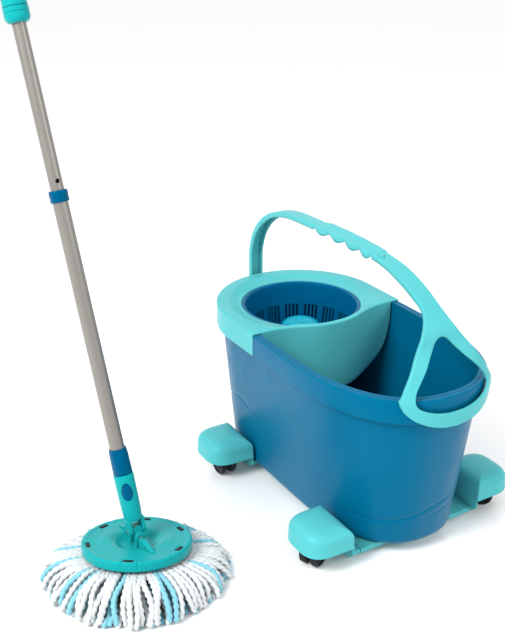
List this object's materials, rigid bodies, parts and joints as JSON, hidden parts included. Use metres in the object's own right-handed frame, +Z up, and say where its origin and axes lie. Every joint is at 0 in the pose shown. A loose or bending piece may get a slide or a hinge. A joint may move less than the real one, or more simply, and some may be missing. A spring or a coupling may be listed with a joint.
{
  "type": "spin mop",
  "caption": "Rolling bucket with a spin basket, swing-up carry handle and pouring end, beside a telescopic mop whose round yarn head tilts on a two-way pivot.",
  "frame": {"origin": "on the floor, at the middle of the whole set seen from above", "axes": "+Z up; +X along the bucket towards its pouring end; +Y across the bucket, away from the mop"},
  "size_m": [0.5472, 0.7205, 1.0055],
  "materials": {
    "blue_plastic": "smooth moulded, semi-gloss",
    "turquoise_plastic": "smooth moulded, satin",
    "teal_plastic": "smooth moulded, semi-gloss",
    "cap_plastic": "smooth moulded, glossy",
    "black_plastic": "fine matte",
    "yarn": "looped microfibre yarn, white with light and dark blue strands",
    "coated_steel": "warm grey coated tube, satin",
    "steel": "plain brushed"
  },
  "bodies": {
    "trolley": {"trolley_frame": "turquoise_plastic", "caster_arm_rear_near": "turquoise_plastic", "caster_arm_rear_far": "turquoise_plastic", "caster_arm_front_near": "turquoise_plastic", "caster_arm_front_far": "turquoise_plastic"},
    "bucket": {"bucket_shell": "blue_plastic", "handle_hinge_pin": "steel"},
    "deck": {"wringer_deck": "turquoise_plastic", "basket_spindle": "steel"},
    "basket": {"spinner_basket": "blue_plastic", "basket_hub_cap": "cap_plastic", "basket_bush": "black_plastic"},
    "handle": {"carry_handle": "turquoise_plastic"},
    "mop_head": {"mop_plate": "teal_plastic", "yarn_carrier": "blue_plastic", "yarn_skirt": "yarn", "lower_pin": "steel"},
    "cross": {"joint_cross": "black_plastic", "upper_pin": "steel"},
    "socket": {"mop_socket": "teal_plastic"},
    "button": {"release_button": "blue_plastic"},
    "pole": {"pole_sleeve": "blue_plastic", "lower_tube": "coated_steel"},
    "collar": {"tube_collar": "blue_plastic"},
    "inner_pole": {"upper_tube": "coated_steel", "tube_bush": "black_plastic"},
    "grip": {"grip_body": "teal_plastic", "twist_rod": "steel", "grip_end_cap": "blue_plastic"},
    "nut": {"drive_nut": "steel"},
    "ring": {"lock_ring": "teal_plastic"},
    "caster_rear_near": {"caster_hood_rear_near": "black_plastic"},
    "wheels_rear_near": {"caster_wheel_a_rear_near": "black_plastic", "caster_wheel_b_rear_near": "black_plastic", "caster_axle_rear_near": "steel"},
    "caster_rear_far": {"caster_hood_rear_far": "black_plastic"},
    "wheels_rear_far": {"caster_wheel_a_rear_far": "black_plastic", "caster_wheel_b_rear_far": "black_plastic", "caster_axle_rear_far": "steel"},
    "caster_front_near": {"caster_hood_front_near": "black_plastic"},
    "wheels_front_near": {"caster_wheel_a_front_near": "black_plastic", "caster_wheel_b_front_near": "black_plastic", "caster_axle_front_near": "steel"},
    "caster_front_far": {"caster_hood_front_far": "black_plastic"},
    "wheels_front_far": {"caster_wheel_a_front_far": "black_plastic", "caster_wheel_b_front_far": "black_plastic", "caster_axle_front_far": "steel"}
  },
  "joints": [
    {"name": "swivel_rear_near", "type": "hinge", "parent": "trolley", "child": "caster_rear_near", "pos_m": [-0.117, 0.016, 0], "axis": [0, 0, 1], "continuous": true},
    {"name": "roll_rear_near", "type": "hinge", "parent": "caster_rear_near", "child": "wheels_rear_near", "pos_m": [-0.109, 0.016, 0.019], "axis": [0, 1, 0], "continuous": true},
    {"name": "swivel_rear_far", "type": "hinge", "parent": "trolley", "child": "caster_rear_far", "pos_m": [-0.117, 0.324, 0], "axis": [0, 0, 1], "continuous": true},
    {"name": "roll_rear_far", "type": "hinge", "parent": "caster_rear_far", "child": "wheels_rear_far", "pos_m": [-0.12452, 0.32674, 0.019], "axis": [-0.342, -0.9397, 0], "continuous": true},
    {"name": "swivel_front_near", "type": "hinge", "parent": "trolley", "child": "caster_front_near", "pos_m": [0.169, 0.016, 0], "axis": [0, 0, 1], "continuous": true},
    {"name": "roll_front_near", "type": "hinge", "parent": "caster_front_near", "child": "wheels_front_near", "pos_m": [0.17238, 0.00875, 0.019], "axis": [0.9063, 0.4226, 0], "continuous": true},
    {"name": "swivel_front_far", "type": "hinge", "parent": "trolley", "child": "caster_front_far", "pos_m": [0.169, 0.324, 0], "axis": [0, 0, 1], "continuous": true},
    {"name": "roll_front_far", "type": "hinge", "parent": "caster_front_far", "child": "wheels_front_far", "pos_m": [0.17513, 0.32914, 0.019], "axis": [-0.6428, 0.766, 0], "continuous": true},
    {"name": "bucket_lift", "type": "slide", "parent": "trolley", "child": "bucket", "axis": [0, 0, 1], "range_m": [0, 0.15]},
    {"name": "deck_lift", "type": "slide", "parent": "bucket", "child": "deck", "axis": [0, 0, 1], "range_m": [0, 0.03]},
    {"name": "basket_spin", "type": "hinge", "parent": "deck", "child": "basket", "pos_m": [-0.119, 0.17, 0.186], "axis": [0, 0, 1], "continuous": true},
    {"name": "handle_swing", "type": "hinge", "parent": "bucket", "child": "handle", "pos_m": [-0.2665, 0.17, 0.231], "axis": [0, -1, 0], "range_deg": [0, 95]},
    {"name": "mop_lift", "type": "slide", "parent": "trolley", "child": "mop_head", "axis": [0, 0, 1], "range_m": [0, 0.4]},
    {"name": "plate_tip", "type": "hinge", "parent": "mop_head", "child": "cross", "pos_m": [0.053, -0.215, 0.058], "axis": [0.9851, 0.0176, 0.1712], "range_deg": [-40, 55]},
    {"name": "pole_tip", "type": "hinge", "parent": "cross", "child": "socket", "pos_m": [0.05164, -0.21547, 0.06587], "axis": [-0.0273, 0.9981, 0.0547], "range_deg": [-36, 50]},
    {"name": "button_press", "type": "slide", "parent": "socket", "child": "button", "axis": [-0.9079, 0.3471, -0.2351], "range_m": [0, 0.0025], "stiffness_N_per_m": 800},
    {"name": "pole_pull_out", "type": "slide", "parent": "socket", "child": "pole", "axis": [-0.2717, -0.0601, 0.9605], "range_m": [0, 0.06]},
    {"name": "collar_twist", "type": "hinge", "parent": "pole", "child": "collar", "pos_m": [-0.07878, -0.24432, 0.52691], "axis": [-0.2717, -0.0601, 0.9605], "range_deg": [0, 60]},
    {"name": "pole_extend", "type": "slide", "parent": "pole", "child": "inner_pole", "axis": [-0.2717, -0.0601, 0.9605], "range_m": [-0.018, 0.18]},
    {"name": "spin_pump", "type": "slide", "parent": "inner_pole", "child": "grip", "axis": [-0.2717, -0.0601, 0.9605], "range_m": [0, 0.12]},
    {"name": "nut_spin", "type": "hinge", "parent": "inner_pole", "child": "nut", "pos_m": [-0.1717, -0.26488, 0.8554], "axis": [-0.2717, -0.0601, 0.9605], "range_deg": [-435, 1]},
    {"name": "ring_twist", "type": "hinge", "parent": "grip", "child": "ring", "pos_m": [-0.14263, -0.25845, 0.75263], "axis": [-0.2717, -0.0601, 0.9605], "range_deg": [0, 60]}
  ],
  "couplings": [
    {"joint": "nut_spin", "follows": "spin_pump", "rad_per_m": -62.832}
  ]
}
